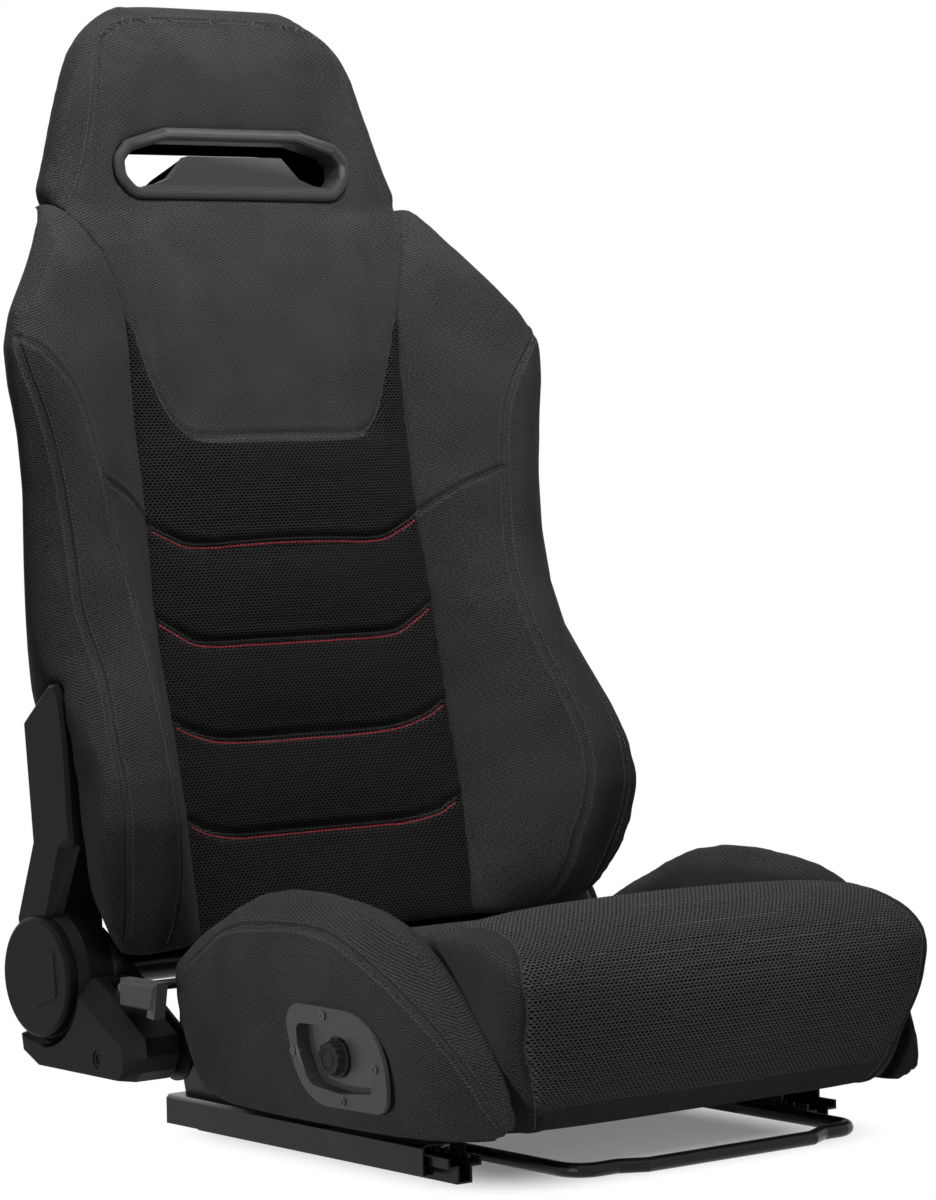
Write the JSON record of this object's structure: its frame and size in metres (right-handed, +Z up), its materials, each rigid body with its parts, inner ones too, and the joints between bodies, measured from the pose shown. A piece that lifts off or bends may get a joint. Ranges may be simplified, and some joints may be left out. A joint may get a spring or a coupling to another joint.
{
  "type": "racing seat",
  "caption": "Reclining bucket seat with high side wings, harness slot, thigh bolsters, a recline lever, a side control knob and sprung slide rails.",
  "frame": {"origin": "on the floor, at the centre of the four bolt holes of the lower rails", "axes": "+Z up; the seat faces -Y; +X is on the right of someone looking at its front, so the recline lever and the control knob are on the -X side"},
  "size_m": [0.596, 0.761, 0.987],
  "materials": {
    "twill_fabric": "fine twill, matt",
    "mesh_fabric": "perforated spacer mesh, matt",
    "dark_plastic": "moulded, satin",
    "grey_plastic": "moulded, satin",
    "black_steel": "satin black",
    "bare_steel": "zinc plated"
  },
  "bodies": {
    "floor_rails": {"lower_rail_left": "black_steel", "lower_rail_right": "black_steel"},
    "seat": {"upper_rail_left": "black_steel", "upper_rail_right": "black_steel", "latch_brackets": "black_steel", "side_frame_left": "black_steel", "side_frame_right": "black_steel", "front_cross_tube": "black_steel", "rear_cross_tube": "black_steel", "cushion_springs": "bare_steel", "frame_bolts": "bare_steel", "cushion_pad": "mesh_fabric", "bolster_left": "twill_fabric", "bolster_right": "twill_fabric", "control_bezel": "grey_plastic", "bezel_screws": "bare_steel", "control_module": "dark_plastic", "recliner_bracket_left": "black_steel", "recliner_bracket_right": "black_steel", "recliner_disc_left": "bare_steel", "recliner_disc_right": "bare_steel", "lower_cover_left": "dark_plastic", "lower_cover_right": "dark_plastic", "cover_plugs": "dark_plastic", "lever_bolt": "bare_steel", "haptics_seat": "dark_plastic"},
    "ball_cages": {"ball_cage_left": "bare_steel", "ball_cage_right": "bare_steel"},
    "release_bar": {"release_bar": "black_steel"},
    "recline_lever": {"recline_lever": "grey_plastic"},
    "control_knob": {"control_knob": "dark_plastic"},
    "backrest": {"recliner_hub_left": "bare_steel", "recliner_hub_right": "bare_steel", "back_plate_left": "black_steel", "back_plate_right": "black_steel", "back_hoop": "black_steel", "back_torque_tube": "black_steel", "back_cross_straps": "bare_steel", "arm_cover_left": "dark_plastic", "arm_cover_right": "dark_plastic", "hinge_cap_left": "dark_plastic", "hinge_cap_right": "dark_plastic", "back_centre_pad": "mesh_fabric", "head_pad": "twill_fabric", "back_wing_left": "twill_fabric", "back_wing_right": "twill_fabric", "rear_cover": "twill_fabric", "slot_bezel_front": "dark_plastic", "slot_bezel_rear": "dark_plastic", "haptics_back": "dark_plastic"}
  },
  "joints": [
    {"name": "seat_slide", "type": "slide", "parent": "floor_rails", "child": "seat", "axis": [0, 1, 0], "range_m": [-0.12, 0.07]},
    {"name": "cage_travel", "type": "slide", "parent": "floor_rails", "child": "ball_cages", "axis": [0, 1, 0], "range_m": [-0.06, 0.035]},
    {"name": "release_bar_lift", "type": "hinge", "parent": "seat", "child": "release_bar", "pos_m": [0, -0.062, 0.015], "axis": [-1, 0, 0], "range_deg": [0, 6], "stiffness_Nm_per_rad": 6, "springref_deg": -6.88},
    {"name": "recline_lever_lift", "type": "hinge", "parent": "seat", "child": "recline_lever", "pos_m": [0, 0.192, 0.127], "axis": [-1, 0, 0], "range_deg": [0, 18], "stiffness_Nm_per_rad": 1.5, "springref_deg": -11.46},
    {"name": "control_knob_turn", "type": "hinge", "parent": "seat", "child": "control_knob", "pos_m": [-0.27, -0.113, 0.101], "axis": [-1, 0, 0], "range_deg": [-150, 150]},
    {"name": "backrest_recline", "type": "hinge", "parent": "seat", "child": "backrest", "pos_m": [0, 0.282, 0.132], "axis": [-1, 0, 0], "range_deg": [-4, 50]}
  ],
  "couplings": [
    {"joint": "cage_travel", "follows": "seat_slide", "ratio": 0.5}
  ]
}
